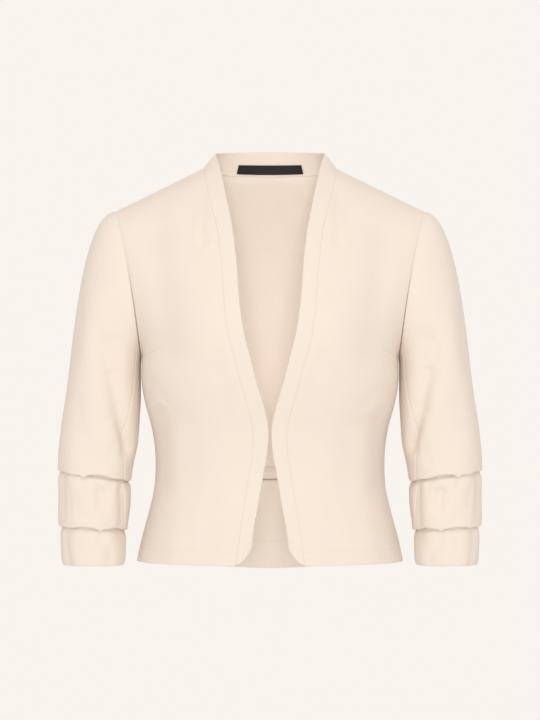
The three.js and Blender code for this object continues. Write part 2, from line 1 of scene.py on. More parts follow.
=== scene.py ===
"""A short cream jacket with an open front, a narrow neck band and sleeves folded in two tucks.

The cloth is drawn as thin sheets over the solids, in millimetres as the solids' own source has it, and turned
into metres when a mesh is made. The front faces -Y, +X is the wearer's left and +Z is up. What comes in pairs
is worked out as a left one, and the right one is turned round when its mesh is made.
"""
import math

import bpy
import numpy as np
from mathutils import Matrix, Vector


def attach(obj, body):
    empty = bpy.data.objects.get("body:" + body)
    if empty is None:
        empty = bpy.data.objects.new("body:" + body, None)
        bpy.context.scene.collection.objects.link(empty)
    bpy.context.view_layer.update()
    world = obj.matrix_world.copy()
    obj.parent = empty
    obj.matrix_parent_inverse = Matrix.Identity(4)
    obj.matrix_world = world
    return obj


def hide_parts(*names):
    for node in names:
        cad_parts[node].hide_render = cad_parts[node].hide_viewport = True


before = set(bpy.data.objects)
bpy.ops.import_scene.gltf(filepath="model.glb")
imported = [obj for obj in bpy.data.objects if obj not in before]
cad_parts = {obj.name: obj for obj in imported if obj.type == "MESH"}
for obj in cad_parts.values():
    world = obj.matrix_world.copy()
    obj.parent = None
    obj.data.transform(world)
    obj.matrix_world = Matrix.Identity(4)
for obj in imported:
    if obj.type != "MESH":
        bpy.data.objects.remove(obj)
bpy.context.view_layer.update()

METRES = 0.001
DEGREE = math.pi / 180
TINY = 1e-12
SAME_PLACE_DIGITS = 3

# Thickness of each cloth, gaps between layers and at seams, and how the edges are rounded and pressed
CLOTH = 1.3
BAND_CLOTH = 2.2
SLEEVE_CLOTH = 1.2
TAPE_CLOTH = 1.0
LABEL_CLOTH = 0.7
LAYER_GAP = 0.4
SEAM_GAP = 0.16
SEAM_PULL = 0.24
CLOSE_PULL = 0.08
ROUND_RIM = 0.32
GROOVE = {"depth": 0.42, "width": 1.3}
SHARP_ANGLE = 50

# How finely the sheets are divided: pitches, the closer steps next to an edge, and the lengths shared out
PITCH = 2.7
FINE_PITCH = 2
EDGE_STEPS = np.array([0, 1.0, 1.8, 2.8, 4.2])
BAND_WIDTH = 19
FRONT_WIDTH = 190
BACK_WIDTH = 180
STAND_HEIGHT = 24
UPPER_GIRTH = 250
UNDER_GIRTH = 78
CAP_HEIGHT = 200
RIBBON_ROWS = 9
SECTION_POINTS = 600
PATH_POINTS = 4000

# Rows of the body, as numbered in its tables
WAIST_ROW = 4
UNDERARM_ROW = 9
LEAN_ROW = 12
NECK_ROW = 14
SHOULDER_ROW = 17
# Stretches of rows: first and last row, height, and whether the rows come closer together at each end
STRETCHES = [
    (0, WAIST_ROW, 116, True, True),
    (WAIST_ROW, UNDERARM_ROW, 147, True, False),
    (UNDERARM_ROW, NECK_ROW, 190, False, True),
    (NECK_ROW, SHOULDER_ROW, 78, True, True),
]

UNDERARM = {"x": 163, "z": -240}
SHOULDER_POINT = {"x": 195, "z": -55}
ARMHOLE = {
    "front": {"way": -1, "reach": 58, "scoop": 4, "belly": 0.15},
    "back": {"way": 1, "reach": 52, "scoop": 2, "belly": 0.1},
}
ARMHOLE_TILT = 0.24
UNDERARM_LEAN = 2
SHARE_LIMIT = 0.99

# How the back is evened out below the neck seam and kept level at its centre, over numbers of rows
SETTLE = {"times": 160, "renewed": 10, "rows": 1.5}
CENTRE_BACK = {"level": 0.16, "rows": 2}

# How far from an edge the soft folds reach their full depth
CALM_REACH = 12
BAND_CALM_REACH = 10


def rows_of(columns, lines):
    """A table with named columns, as one dictionary of arrays."""
    return dict(zip(columns, np.array(lines, float).T))


def unit(v):
    """Vectors of length one."""
    return v / np.maximum(np.linalg.norm(v, axis=-1, keepdims=True), TINY)


# Side seam from the hem up to the underarm
SIDE_SEAM = rows_of(("x", "z"), [
    (168.8, -497.5), (162.6, -468), (154.2, -438), (147.8, -411), (145.6, -385),
    (146.3, -357), (150.4, -329), (157.9, -300), (163, -270), (163, -240),
])

# Front sections from the hem to the shoulder seam
FRONT = rows_of(("z", "edge", "seam", "rise", "depth", "square"), [
    (-498, 25.8, 42.8, 0, 113, 2.3),
    (-470, 21.6, 38.8, 0, 110, 2.3),
    (-440, 17.6, 34.6, 0, 106.5, 2.3),
    (-412, 13.2, 30.4, 0, 103.5, 2.3),
    (-385, 8.6, 25.8, 0, 101.5, 2.3),
    (-356, 3.6, 21.4, 0, 103, 2.35),
    (-328, 2.6, 22, 0, 108, 2.4),
    (-300, 8.2, 28.5, 0, 115, 2.5),
    (-270, 17.2, 36.9, 0, 122, 2.6),
    (-240, 24.8, 44.9, 0, 126.5, 2.7),
    (-214, 31.4, 51.3, 0, 127, 2.7),
    (-186, 36.2, 55.3, 0, 124.5, 2.7),
    (-154, 39.6, 58.2, 0, 117.5, 2.6),
    (-118, 42.2, 61.2, 1, 104.5, 2.5),
    (-80, 47.5, 66.2, 3, 85, 2.5),
    (-44, 55.4, 75, 6, 59, 2.5),
    (-14, 63, 82.4, 10, 28, 2.5),
    (0, 70, 84.5, 18.8, 0, 2.5),
])
HEM_CORNER = {"width": 22, "height": 28, "lean": 0.94}
HEM_FADE = 95

# Back sections, from the hem to the neck seam and along it to the shoulder
BACK = rows_of(("z", "depth", "square"), [
    (-515, 112, 2.2),
    (-484, 106, 2.2),
    (-450, 98, 2.2),
    (-417, 90, 2.2),
    (-382, 84.5, 2.2),
    (-356, 85, 2.2),
    (-328, 90, 2.25),
    (-300, 96.5, 2.3),
    (-270, 102.5, 2.35),
    (-240, 106.5, 2.4),
    (-198, 109, 2.45),
    (-152, 108, 2.5),
    (-104, 101, 2.5),
    (-56, 86.5, 2.5),
    (-8, 64, 2.5),
    (-6, 57, 2.5),
    (-2, 37, 2.5),
    (0, 0, 2.5),
])
NECK = {"width": 84.5, "depth": 64, "square": 2.2, "drop": 8}
STAND_EDGE = {"width": 70, "start": 2, "depth": 61, "z": 18.8, "rise": 4.4, "square": 2.3}
SHOULDER_NORMAL = unit(np.array([0.446, 0, 0.895]))
BAND_NORMAL = unit(np.array([0.76, 0, 0.65]))

# Sleeve sizes by height
SLEEVE = rows_of(("z", "outer", "inner", "y", "half", "tilt", "seam"), [
    (-262, 255.2, 163.9, -4, 53, 0, 148),
    (-295, 259.5, 164, -4, 54, 1, 141),
    (-320, 263.3, 165.5, -5, 54, 3, 137),
    (-345, 266, 167.5, -7, 53, 5, 134),
    (-370, 268.2, 173, -9.5, 51, 6.5, 141),
    (-390, 268.4, 175.6, -12, 49.5, 7, 146),
    (-420, 267.6, 176.3, -16, 48, 5, 151),
    (-455, 267.2, 180.2, -21, 46, 2.5, 160),
    (-480, 264.2, 181.8, -24.5, 44, 1, 160),
    (-505, 262, 183, -28, 42.5, 0, 160),
])
SLEEVE_SQUARE = 2.15
BACK_SEAM_ANGLE = 236
SLEEVE_RADIUS = 50
FRONT_SEAM_COLUMN = 13
BACK_SEAM_COLUMN = 20
SLEEVE_COLUMNS = 32
CAP = {
    "underarm": {"out": 1, "down": 7, "join": 7, "gather": 0},
    "shoulder": {"out": 33, "down": 1, "join": 114, "gather": 12},
    "puff": 4,
}

# The way of the sleeve's outer face past both tucks: height, and how far inside the sleeve's outline
TUCK_TURN = 3.6
TUCK_NEXT = 4.4
TUCK_ROUND = 0.5
TUCK_MIDDLE = (TUCK_TURN + TUCK_NEXT) / 2
SLEEVE_PATH = rows_of(("z", "in"), [
    (-262, 0),
    (-292, 0),
    (-320, 0),
    (-346, 0),
    (-368, 0),
    (-385, 0),
    (-389, TUCK_ROUND),
    (-390.6, TUCK_TURN / 2),
    (-389, TUCK_TURN - TUCK_ROUND),
    (-385, TUCK_TURN),
    (-377, TUCK_TURN),
    (-375.4, TUCK_MIDDLE),
    (-377, TUCK_NEXT),
    (-387, TUCK_NEXT + 0.6),
    (-393, 3.6),
    (-399, 1.4),
    (-407, 0.3),
    (-434, 0),
    (-450, 0),
    (-454, TUCK_ROUND),
    (-455.6, TUCK_TURN / 2),
    (-454, TUCK_TURN - TUCK_ROUND),
    (-450, TUCK_TURN),
    (-443, TUCK_TURN),
    (-441.4, TUCK_MIDDLE),
    (-443, TUCK_NEXT),
    (-453, TUCK_NEXT + 0.6),
    (-459, 3.8),
    (-465, 1.9),
    (-474, 0.7),
    (-488, 0),
    (-497, 0.2),
    (-501.5, 1.6),
])

# Soft folds. Each runs between two ends, given as x and z on the body and as angle and z on a sleeve.
# A depth below nothing is a ridge.
FOLD_COLUMNS = ("x1", "z1", "x2", "z2", "width", "depth")
FRONT_FOLDS = {
    "left": rows_of(FOLD_COLUMNS, [
        (146, -92, 130, -238, 24, 5.4),
        (74, -186, 76, -214, 30, -3.4),
        (100, -62, 72, -40, 18, 2.6),
        (86, -64, 84, -96, 6, 2.4),
        (137, -318, 135, -402, 12, 2.6),
        (112, -150, 104, -232, 9, 0.9),
        (150, -262, 118, -300, 8, 0.9),
        (98, -330, 92, -420, 13, 1.1),
        (60, -250, 44, -340, 11, 0.8),
        (120, -440, 128, -492, 11, -1.2),
        (76, -420, 82, -490, 12, 0.9),
        (164, -440, 160, -478, 7, 1),
    ]),
    "right": rows_of(FOLD_COLUMNS, [
        (147, -90, 131, -232, 23, 5.5),
        (76, -180, 75, -210, 29, -3.5),
        (98, -60, 73, -42, 17, 2.5),
        (87, -68, 85, -98, 6, 2.3),
        (138, -312, 134, -396, 12, 2.7),
        (110, -140, 106, -214, 10, 0.7),
        (148, -268, 122, -306, 7, 1),
        (100, -322, 96, -408, 12, 0.9),
        (62, -262, 47, -330, 10, 0.9),
        (116, -446, 122, -494, 10, -1),
        (72, -410, 80, -484, 13, 1),
        (163, -436, 161, -470, 8, 0.9),
    ]),
}
BACK_FOLDS = rows_of(FOLD_COLUMNS, [
    (150, -120, 118, -290, 16, 2),
    (-150, -126, -120, -282, 15, 2.1),
    (62, -330, 74, -470, 16, 3),
    (-64, -338, -72, -476, 16, 2.9),
    (34, -60, 40, -130, 10, 0.8),
    (-30, -70, -42, -140, 11, 0.9),
    (104, -300, 96, -372, 10, 1),
    (-108, -292, -94, -366, 9, 1.1),
    (8, -340, -4, -384, 9, 0.9),
    (120, -430, 128, -490, 11, -1.2),
    (-118, -424, -130, -488, 12, -1.1),
])
SLEEVE_FOLDS = {
    "left": rows_of(FOLD_COLUMNS, [
        (94, -222, 103, -258, 15, 6.4),
        (103, -258, 120, -304, 13, 8.4),
        (120, -304, 142, -344, 11, 8),
        (70, -330, 92, -372, 16, 2.4),
        (101, -410, 102, -424, 8, 6),
        (30, -402, 34, -440, 10, 2.4),
        (142, -402, 146, -446, 9, 3),
        (66, -436, 84, -446, 9, 1.6),
        (104, -464, 124, -492, 9, 2.4),
        (38, -464, 42, -496, 9, 2),
        (58, -150, 62, -230, 15, -1.8),
        (286, -236, 252, -330, 12, 4),
        (340, -300, 322, -360, 12, 2.5),
        (60, -290, 84, -362, 9, 1.4),
        (30, -180, 34, -250, 12, 1.1),
        (126, -330, 112, -372, 7, 1.2),
        (48, -402, 60, -440, 8, 1.2),
        (112, -462, 118, -482, 7, -1.2),
        (74, -470, 80, -500, 8, 1),
        (210, -300, 226, -352, 9, 1.6),
        (300, -404, 292, -438, 8, 1.4),
    ]),
    "right": rows_of(FOLD_COLUMNS, [
        (93, -226, 102, -262, 15, 6.2),
        (102, -262, 119, -308, 13, 8.3),
        (119, -308, 141, -348, 11, 8.1),
        (68, -334, 90, -374, 15, 2.5),
        (103, -409, 104, -423, 8, 6),
        (32, -404, 35, -438, 10, 2.5),
        (140, -404, 147, -444, 9, 2.9),
        (70, -434, 86, -445, 9, 1.7),
        (106, -463, 122, -490, 9, 2.3),
        (36, -466, 43, -495, 9, 2.1),
        (60, -154, 63, -236, 15, -1.7),
        (284, -242, 254, -326, 12, 3.9),
        (338, -306, 324, -354, 12, 2.4),
        (56, -300, 80, -366, 9, 1.5),
        (26, -170, 32, -240, 12, 1),
        (122, -336, 110, -368, 7, 1.3),
        (44, -406, 52, -438, 8, 1.3),
        (116, -464, 112, -484, 7, -1.3),
        (70, -474, 78, -498, 8, 1.1),
        (206, -306, 228, -346, 9, 1.5),
        (298, -408, 290, -436, 8, 1.3),
    ]),
}

# Puckers right under the fold of each tuck: angle, height of their middle, size, and how far they stand out
PUCKERS = rows_of(("angle", "z", "size", "out"), [
    (14, -397, 9, 1.7), (52, -397, 9, 1.7), (86, -397, 9, 1.7), (108, -397, 9, 1.7), (130, -397, 9, 1.7),
    (196, -397, 9, 1.7), (238, -397, 9, 1.7), (262, -397, 9, 1.7), (302, -397, 9, 1.7), (336, -397, 9, 1.7),
    (28, -462, 9, 1.4), (66, -462, 9, 1.4), (97, -462, 9, 1.4), (124, -462, 9, 1.4), (178, -462, 9, 1.4),
    (218, -462, 9, 1.4), (250, -462, 9, 1.4), (280, -462, 9, 1.4), (318, -462, 9, 1.4),
    (83, -395, 4, 0.9), (104, -396, 4.5, 1), (127, -396, 4, 0.9), (66, -395, 4, 0.7), (148, -396, 4, 0.8),
    (96, -405, 4, -1), (118, -406, 4, -1), (75, -404, 4, -0.9), (140, -404, 4, -0.8),
    (110, -461, 4, 0.8), (88, -461, 4, 0.7), (134, -462, 4, 0.7), (100, -470, 4, -0.7),
])

# Where a tuck's folded edge dips: angle, height, width round the arm, and drop
EDGE_DIPS = rows_of(("angle", "z", "width", "drop"), [
    (77, -388, 3.4, 4.2),
    (101, -388, 17, -4.4),
    (56, -388, 10, 0.9),
    (140, -388, 13, -2.2),
    (188, -388, 14, -1.4),
    (242, -388, 5, 2.6),
    (266, -388, 13, -2),
    (322, -388, 12, 1),
    (80, -453, 16, -2.6),
    (105, -453, 4, 2.8),
    (134, -453, 16, -3.2),
    (50, -453, 8, 0.6),
    (226, -453, 5, 2.1),
    (254, -453, 13, -1.6),
    (300, -453, 10, 0.8),
])

DIP = {"reach": 9, "fade": 0.8, "shift": {"left": -3, "right": 0}}
PUCKERED = TUCK_NEXT + 0.1

# Where the sleeve's rows come closer together: height and reach of each turn, and how much closer
TUCK_TURNS = [(-388, 6), (-453.5, 6), (-376, 3)]
TURN_DENSITY = 0.9
TURN_INSIDE = 0.05

# Tape by rows of the body, and label by shares of the stand's height and of its way round to the shoulder
TAPE_ROWS = {"low": 3.51, "high": 3.97}
LABEL_PLACE = {"low": 0.1, "high": 0.48, "share": 0.33}

# Colours, and the thread's width in metres and relief of each weave
CREAM = (0.815, 0.728, 0.648)
TAPE = (0.82, 0.73, 0.645)
BLACK = (0.012, 0.011, 0.012)
CREAM_WEAVE = (0.00055, 0.25)
TAPE_WEAVE = (0.0008, 0.4)
LABEL_WEAVE = (0.0004, 0.3)
CLOTH_LOOK = {"sheen": 0.12, "rough": 0.86}
LABEL_LOOK = {"sheen": 0.05, "rough": 0.6}
FIXED_LOOK = {"Sheen Roughness": 0.5, "Specular IOR Level": 0.25}
YARN = {"Scale": 900.0, "Detail": 3.0, "Roughness": 0.6}
BLOTCH = {"Scale": 28.0, "Detail": 2.0, "Roughness": 0.5}
YARN_TONE = 0.6
BLOTCH_TONE = 0.4
TONES = (0.955, 1.03)
THREAD_RELIEF = 0.35
YARN_RELIEF = 1.6
LINE_RELIEF = 15
LINE_TINT = (1, 1.1, 1.2)
RELIEF_DEPTH = 0.0003
ROUGH_RANGE = (-0.05, 0.06)

# Places of the colour inputs and outputs on a Mix node
MIX_SHARE = 0
MIX_COLOURS = (6, 7)
MIX_RESULT = 2

# Lines on the cloth: two ends in metres, half a width, and how dark. The dart's ends are x and z on the body.
PEPLUM_LINES = [(-0.2, 0.037, 0.2, 0.037, 0.0012, 0.07)]
# The tape's lines are painted light: a painted shadow along its lower edge, a painted highlight line across
# its middle (how dark below nothing) and a broad band of painted shade over its upper half.
TAPE_PAINTED_LIGHT_LINES = [
    (-0.2, 0.0004, 0.2, 0.0004, 0.0016, 0.6),
    (-0.2, 0.0085, 0.2, 0.0085, 0.0008, -0.08),
    (-0.2, 0.0125, 0.2, 0.0125, 0.004, 0.06),
]
FRONT_HEM_LINE = (0.034, 0.017, 0.21, 0.017, 0.0009, 0.04)
DART = ((169, -242), (141, -231))
DART_LINE = (0.0011, 0.14)

# Studio, in metres
GROUND = (0.945, 0.9, 0.855)
CAMERA = {"distance": 4.0, "height": -0.2438, "lens": 157.48, "sensor": 36, "far": 40}
FLOOR = {"z": -1.4, "radius": 6, "corners": 96, "paint": 0.05, "glow": 0.93}
AMBIENT = 0.82
LAMP_COLOUR = (1, 0.985, 0.965)
# Name, place, aim, width, height and power of each lamp
LIGHTS = [
    ("front_light", (0, -9, 0.1), (0, 0, -0.24), 2.0, 2.0, 280),
    ("high_light", (0.1, -2.2, 2.4), (0, 0, -0.2), 1.4, 1.4, 13),
    ("back_light", (1.6, 6, 1.6), (0, 0, -0.24), 2.0, 2.0, 110),
    ("inner_light", (0.01, -0.035, -0.235), (-0.01, 0.3, -0.235), 0.1, 0.38, 0.112),
]

# What each piece was cut to: width and length of its rectangle, its own area, and how it is held
CUT = {
    "front": {"flat": (0.21, 0.53), "area": 0.082, "held": "hung"},
    "band": {"flat": (0.022, 0.55), "area": 0.0118, "held": "hung"},
    "back_upper": {"flat": (0.44, 0.41), "area": 0.155, "held": "hung"},
    "back_peplum": {"flat": (0.45, 0.135), "area": 0.0526, "held": "hung"},
    "band_back": {"flat": (0.24, 0.031), "area": 0.0069, "held": "stretched"},
    "back_waist_binding": {"flat": (0.37, 0.0165), "area": 0.0057, "held": "stretched"},
    "label": {"flat": (0.083, 0.0125), "area": 0.00102, "held": "stretched"},
    "sleeve_upper": {"flat": (0.28, 0.55), "area": 0.1055, "held": "folded"},
    "sleeve_under": {"flat": (0.09, 0.36), "area": 0.0254, "held": "folded"},
}


def at(table, column, row):
    """Smooth value of one column of a table at row numbers that may lie between rows."""
    values = table[column]
    row = np.asarray(row, float)
    last = len(values) - 1
    k = np.clip(np.floor(row), 0, last - 1).astype(int)
    t = row - k
    b, c = values[k], values[k + 1]
    before = np.where(k > 0, values[np.maximum(k - 1, 0)], 2 * b - c)
    after = np.where(k + 2 <= last, values[np.minimum(k + 2, last)], 2 * c - b)
    slope_b, slope_c = (c - before) / 2, (after - b) / 2
    ends = b * (2 * t**3 - 3 * t**2 + 1) + c * (3 * t**2 - 2 * t**3)
    return ends + slope_b * (t**3 - 2 * t**2 + t) + slope_c * (t**3 - t**2)


def oval(angle, square):
    """Shares of an oval's width and depth at an angle."""
    def share(v):
        return np.sign(v) * np.abs(v) ** (2 / square)
    return share(np.cos(angle)), share(np.sin(angle))


def armhole_point(face, angle):
    """A point of the armhole seam. The angle runs from 0 at the underarm to 180 at the shoulder."""
    shape = ARMHOLE[face]
    sin, cos = math.sin(angle * DEGREE), math.cos(angle * DEGREE)
    up = (1 - cos) / 2
    return np.array([
        UNDERARM["x"] + (SHOULDER_POINT["x"] - UNDERARM["x"]) * up - shape["scoop"] * sin * sin,
        shape["way"] * shape["reach"] * sin * (1 + shape["belly"] * cos),
        UNDERARM["z"] + (SHOULDER_POINT["z"] - UNDERARM["z"]) * up,
    ])


def armhole_normal(face, angle, lean):
    """Normal at the armhole seam, for the body (lean 1), the sleeve (lean -1) or between them (lean 0)."""
    sin, cos = math.sin(angle * DEGREE), math.cos(angle * DEGREE)
    apart = lean * UNDERARM_LEAN * ((1 + cos) / 2) ** 2
    return unit(np.array([ARMHOLE_TILT * (1 - cos) + apart, ARMHOLE[face]["way"] * sin, -cos]))


def armhole_gap(face, angle):
    """Half the seam's gap, across the armhole seam from the body towards the sleeve."""
    along = armhole_point(face, angle + 1) - armhole_point(face, angle - 1)
    across = unit(np.cross(along, armhole_normal(face, angle, 0)))
    return across * math.copysign(SEAM_GAP / 2, across[0])


def armhole_angle(row):
    """The angle on the armhole seam of a row of the body."""
    return (row - UNDERARM_ROW) / (SHOULDER_ROW - UNDERARM_ROW) * 180


def side_point(face, row):
    """Where a row of a panel ends: on the side seam or, higher up, on the armhole."""
    if row > UNDERARM_ROW:
        return armhole_point(face, armhole_angle(row))
    return np.array([at(SIDE_SEAM, "x", row), 0, at(SIDE_SEAM, "z", row)])


def neck_point(share):
    """A point of the neck seam, by its share of the way from the centre back to the shoulder."""
    x, y = oval((1 - share) * 90 * DEGREE, NECK["square"])
    return np.array([x * NECK["width"], y * NECK["depth"], -NECK["drop"] * (1 - share**2)])


def stand_point(share):
    """A point of the stand's top edge."""
    x, y = oval((1 - share) * 90 * DEGREE, STAND_EDGE["square"])
    depth = STAND_EDGE["start"] + y * (STAND_EDGE["depth"] - STAND_EDGE["start"])
    return np.array([x * STAND_EDGE["width"], depth, STAND_EDGE["z"] + STAND_EDGE["rise"] * y])


def rounded(spread, row):
    """Shares of a row's rise to its side, level at the centre back below the neck."""
    level = CENTRE_BACK["level"] * min(max((NECK_ROW - row) / CENTRE_BACK["rows"], 0), 1)
    return (np.hypot(spread, level) - level) / (math.hypot(1, level) - level)


def section(face, row, start, spread):
    """One row of a panel, from a distance off the centre out to its side, at shares of its length."""
    table = FRONT if face == "front" else BACK
    end = side_point(face, row)
    depth = max(float(at(table, "depth", row)), abs(end[1]))
    square = float(at(table, "square", row))
    share = min(abs(end[1]) / depth, SHARE_LIMIT) if depth > 0 else 0
    width = end[0] / (1 - share**square) ** (1 / square)
    first = math.acos((start / width) ** (square / 2))
    last = math.asin(share ** (square / 2))
    x, y = oval(np.linspace(first, last, SECTION_POINTS), square)
    x, y = x * width, ARMHOLE[face]["way"] * y * depth
    length = np.concatenate(([0], np.cumsum(np.hypot(np.diff(x), np.diff(y)))))
    want = spread * length[-1]
    low = float(at(table, "z", row))
    height = low + (end[2] - low) * rounded(spread, row if face == "back" else NECK_ROW)
    line = np.stack([np.interp(want, length, x), np.interp(want, length, y), height], -1)
    line[-1, :2] = end[:2]
    return line


def steps(length, pitch=PITCH, first=True, last=True):
    """Shares of a length, a pitch apart and closer together near the ends that have a seam or an edge."""
    start = EDGE_STEPS if first else EDGE_STEPS[:1]
    stop = length - (EDGE_STEPS[::-1] if last else EDGE_STEPS[:1])
    count = max(int(round((stop[0] - start[-1]) / pitch)), 2)
    middle = np.linspace(start[-1], stop[0], count + 1)[1:-1]
    return np.concatenate((start, middle, stop)) / length


def corner_lift(distance, height):
    """How much the rounded front corner lifts a row."""
    d = np.minimum(distance / HEM_CORNER["width"], 1)
    fade = np.maximum(1 - height / HEM_FADE, 0) ** 2
    return HEM_CORNER["height"] * (1 - np.sqrt(1 - HEM_CORNER["lean"] * (1 - d) ** 2)) * fade


def front_row(row, band_spread, panel_spread):
    """One row of the left front: its band and its panel."""
    edge = float(at(FRONT, "edge", row))
    panel = section("front", row, float(at(FRONT, "seam", row)), panel_spread)
    chest = section("front", row, edge, np.array([0, 1.0]))[0]
    stand = max((row - LEAN_ROW) / (SHOULDER_ROW - LEAN_ROW), 0) ** 2
    y = chest[1] + (panel[0, 1] + STAND_EDGE["start"] - chest[1]) * stand
    lip = np.array([edge, y, panel[0, 2] + float(at(FRONT, "rise", row))])
    band = lip + (panel[0] - lip) * band_spread[:, None]
    height = panel[0, 2] - FRONT["z"][0]
    for line in (band, panel):
        line[:, 2] += corner_lift(line[:, 0] - edge, height)
    return band, panel


def centred(normals):
    """Normals at the centre back, which lean to neither side."""
    return unit(normals * np.array([0, 1, 1]))


def settle(grid):
    """Evens out the back's sharp turn below the neck seam, with its edges left in place."""
    share = np.clip((body_rows - LEAN_ROW) / SETTLE["rows"], 0, 1)[:, None] * np.ones(grid.shape[:2])
    share[-1], share[:, 0] = 0, 0
    share[body_rows >= NECK_ROW, -1] = 0
    for number in range(SETTLE["times"]):
        if number % SETTLE["renewed"] == 0:
            normals = normals_of(grid)
            normals[:, -1] = centred(normals[:, -1])
        beyond = np.concatenate((grid[:, 1:], grid[:, -2:-1] * np.array([-1, 1, 1])), axis=1)
        before = np.concatenate((grid[:, :1], grid[:, :-1]), axis=1)
        above, below = np.concatenate((grid[1:], grid[-1:])), np.concatenate((grid[:1], grid[:-1]))
        middle = (beyond + before + above + below) / 4
        off = np.sum((middle - grid) * normals, axis=-1)
        grid = grid + normals * (off * share)[..., None]
    return grid


def back_row(row, spread):
    """One row of the left half of the back, from its side to the centre or to the neck seam."""
    share = max((row - NECK_ROW) / (SHOULDER_ROW - NECK_ROW), 0)
    neck = neck_point(share)
    line = section("back", row, neck[0] if share > 0 else 0, spread)
    if share > 0:
        line += (neck - line[0]) * (1 - spread)[:, None]
    return line[::-1]


def fold_depth(folds, x, z, scale=1.0):
    """How deep soft folds press in at places. Where two meet, the deeper one counts."""
    troughs = np.zeros(np.broadcast(x, z).shape)
    ridges = troughs.copy()
    for x1, z1, x2, z2, width, depth in zip(*(folds[name] for name in FOLD_COLUMNS)):
        way = np.array([(x2 - x1) * scale, z2 - z1])
        here = np.stack(np.broadcast_arrays((x - x1) * scale, z - z1), -1)
        share = np.clip(here @ way / (way @ way), 0, 1)
        away = np.linalg.norm(here - share[..., None] * way, axis=-1) / width
        bend = depth * np.exp(-(away**2))
        troughs = np.maximum(troughs, bend)
        ridges = np.minimum(ridges, bend)
    return troughs + ridges


def normals_of(grid):
    """Outward normals of a grid of points."""
    return unit(np.cross(np.gradient(grid, axis=1), np.gradient(grid, axis=0)))


def distance_from(grid, edge):
    """How far each point of a grid lies from one of its edges, along the cloth."""
    if edge in ("first row", "last row"):
        piece = np.linalg.norm(np.diff(grid, axis=0), axis=-1)
        total = np.concatenate((np.zeros((1, grid.shape[1])), np.cumsum(piece, axis=0)))
        return total if edge == "first row" else total[-1] - total
    piece = np.linalg.norm(np.diff(grid, axis=1), axis=-1)
    total = np.concatenate((np.zeros((grid.shape[0], 1)), np.cumsum(piece, axis=1)), axis=1)
    return total if edge == "first column" else total[:, -1:] - total


def calmed(grid, edges, reach=CALM_REACH):
    """Shares that let the soft folds fade out towards edges of a grid."""
    share = 1
    for edge in edges:
        share = share * np.clip(distance_from(grid, edge) / reach, 0, 1)
    return share


def pull(grid, edge, rows=slice(None), far=SEAM_PULL):
    """Moves one edge of a grid back from its seam."""
    place, beside = {
        "first row": ((0,), (1,)),
        "last row": ((-1,), (-2,)),
        "first column": ((rows, 0), (rows, 1)),
        "last column": ((rows, -1), (rows, -2)),
    }[edge]
    way = grid[beside] - grid[place]
    grid[place] += unit(way) * np.minimum(far, np.linalg.norm(way, axis=-1) / 2)[..., None]


def groove(away):
    """How deep a pressed seam sinks the cloth, by the distance from the seam."""
    return (GROOVE["depth"] * np.exp(-((away / GROOVE["width"]) ** 2)))[..., None]


def press_seams(grid, normals, edges):
    """Sinks a sheet's sewn edges a little, as a pressed seam does."""
    for edge in edges:
        grid -= normals * groove(distance_from(grid, edge))


def lay_inside(grid, normals, rows, columns, depth):
    """A sheet on the wrong side of another, at numbers of its rows and columns, that faces inward."""
    i = np.minimum(np.floor(rows).astype(int), grid.shape[0] - 2)[:, None]
    j = np.minimum(np.floor(columns).astype(int), grid.shape[1] - 2)[None, :]
    up, along = (rows[:, None] - i)[..., None], (columns[None, :] - j)[..., None]

    def mix(g):
        low = g[i, j] * (1 - along) + g[i, j + 1] * along
        high = g[i + 1, j] * (1 - along) + g[i + 1, j + 1] * along
        return low * (1 - up) + high * up

    away = -unit(mix(normals))
    return (mix(grid) + away * depth)[:, ::-1], away[:, ::-1]


def other_half(grid, normals, flat):
    """A half sheet that was worked out as a left one, turned into the right one."""
    mirror = np.array([-1, 1, 1])
    return (grid * mirror)[:, ::-1], (normals * mirror)[:, ::-1], flat[:, ::-1]


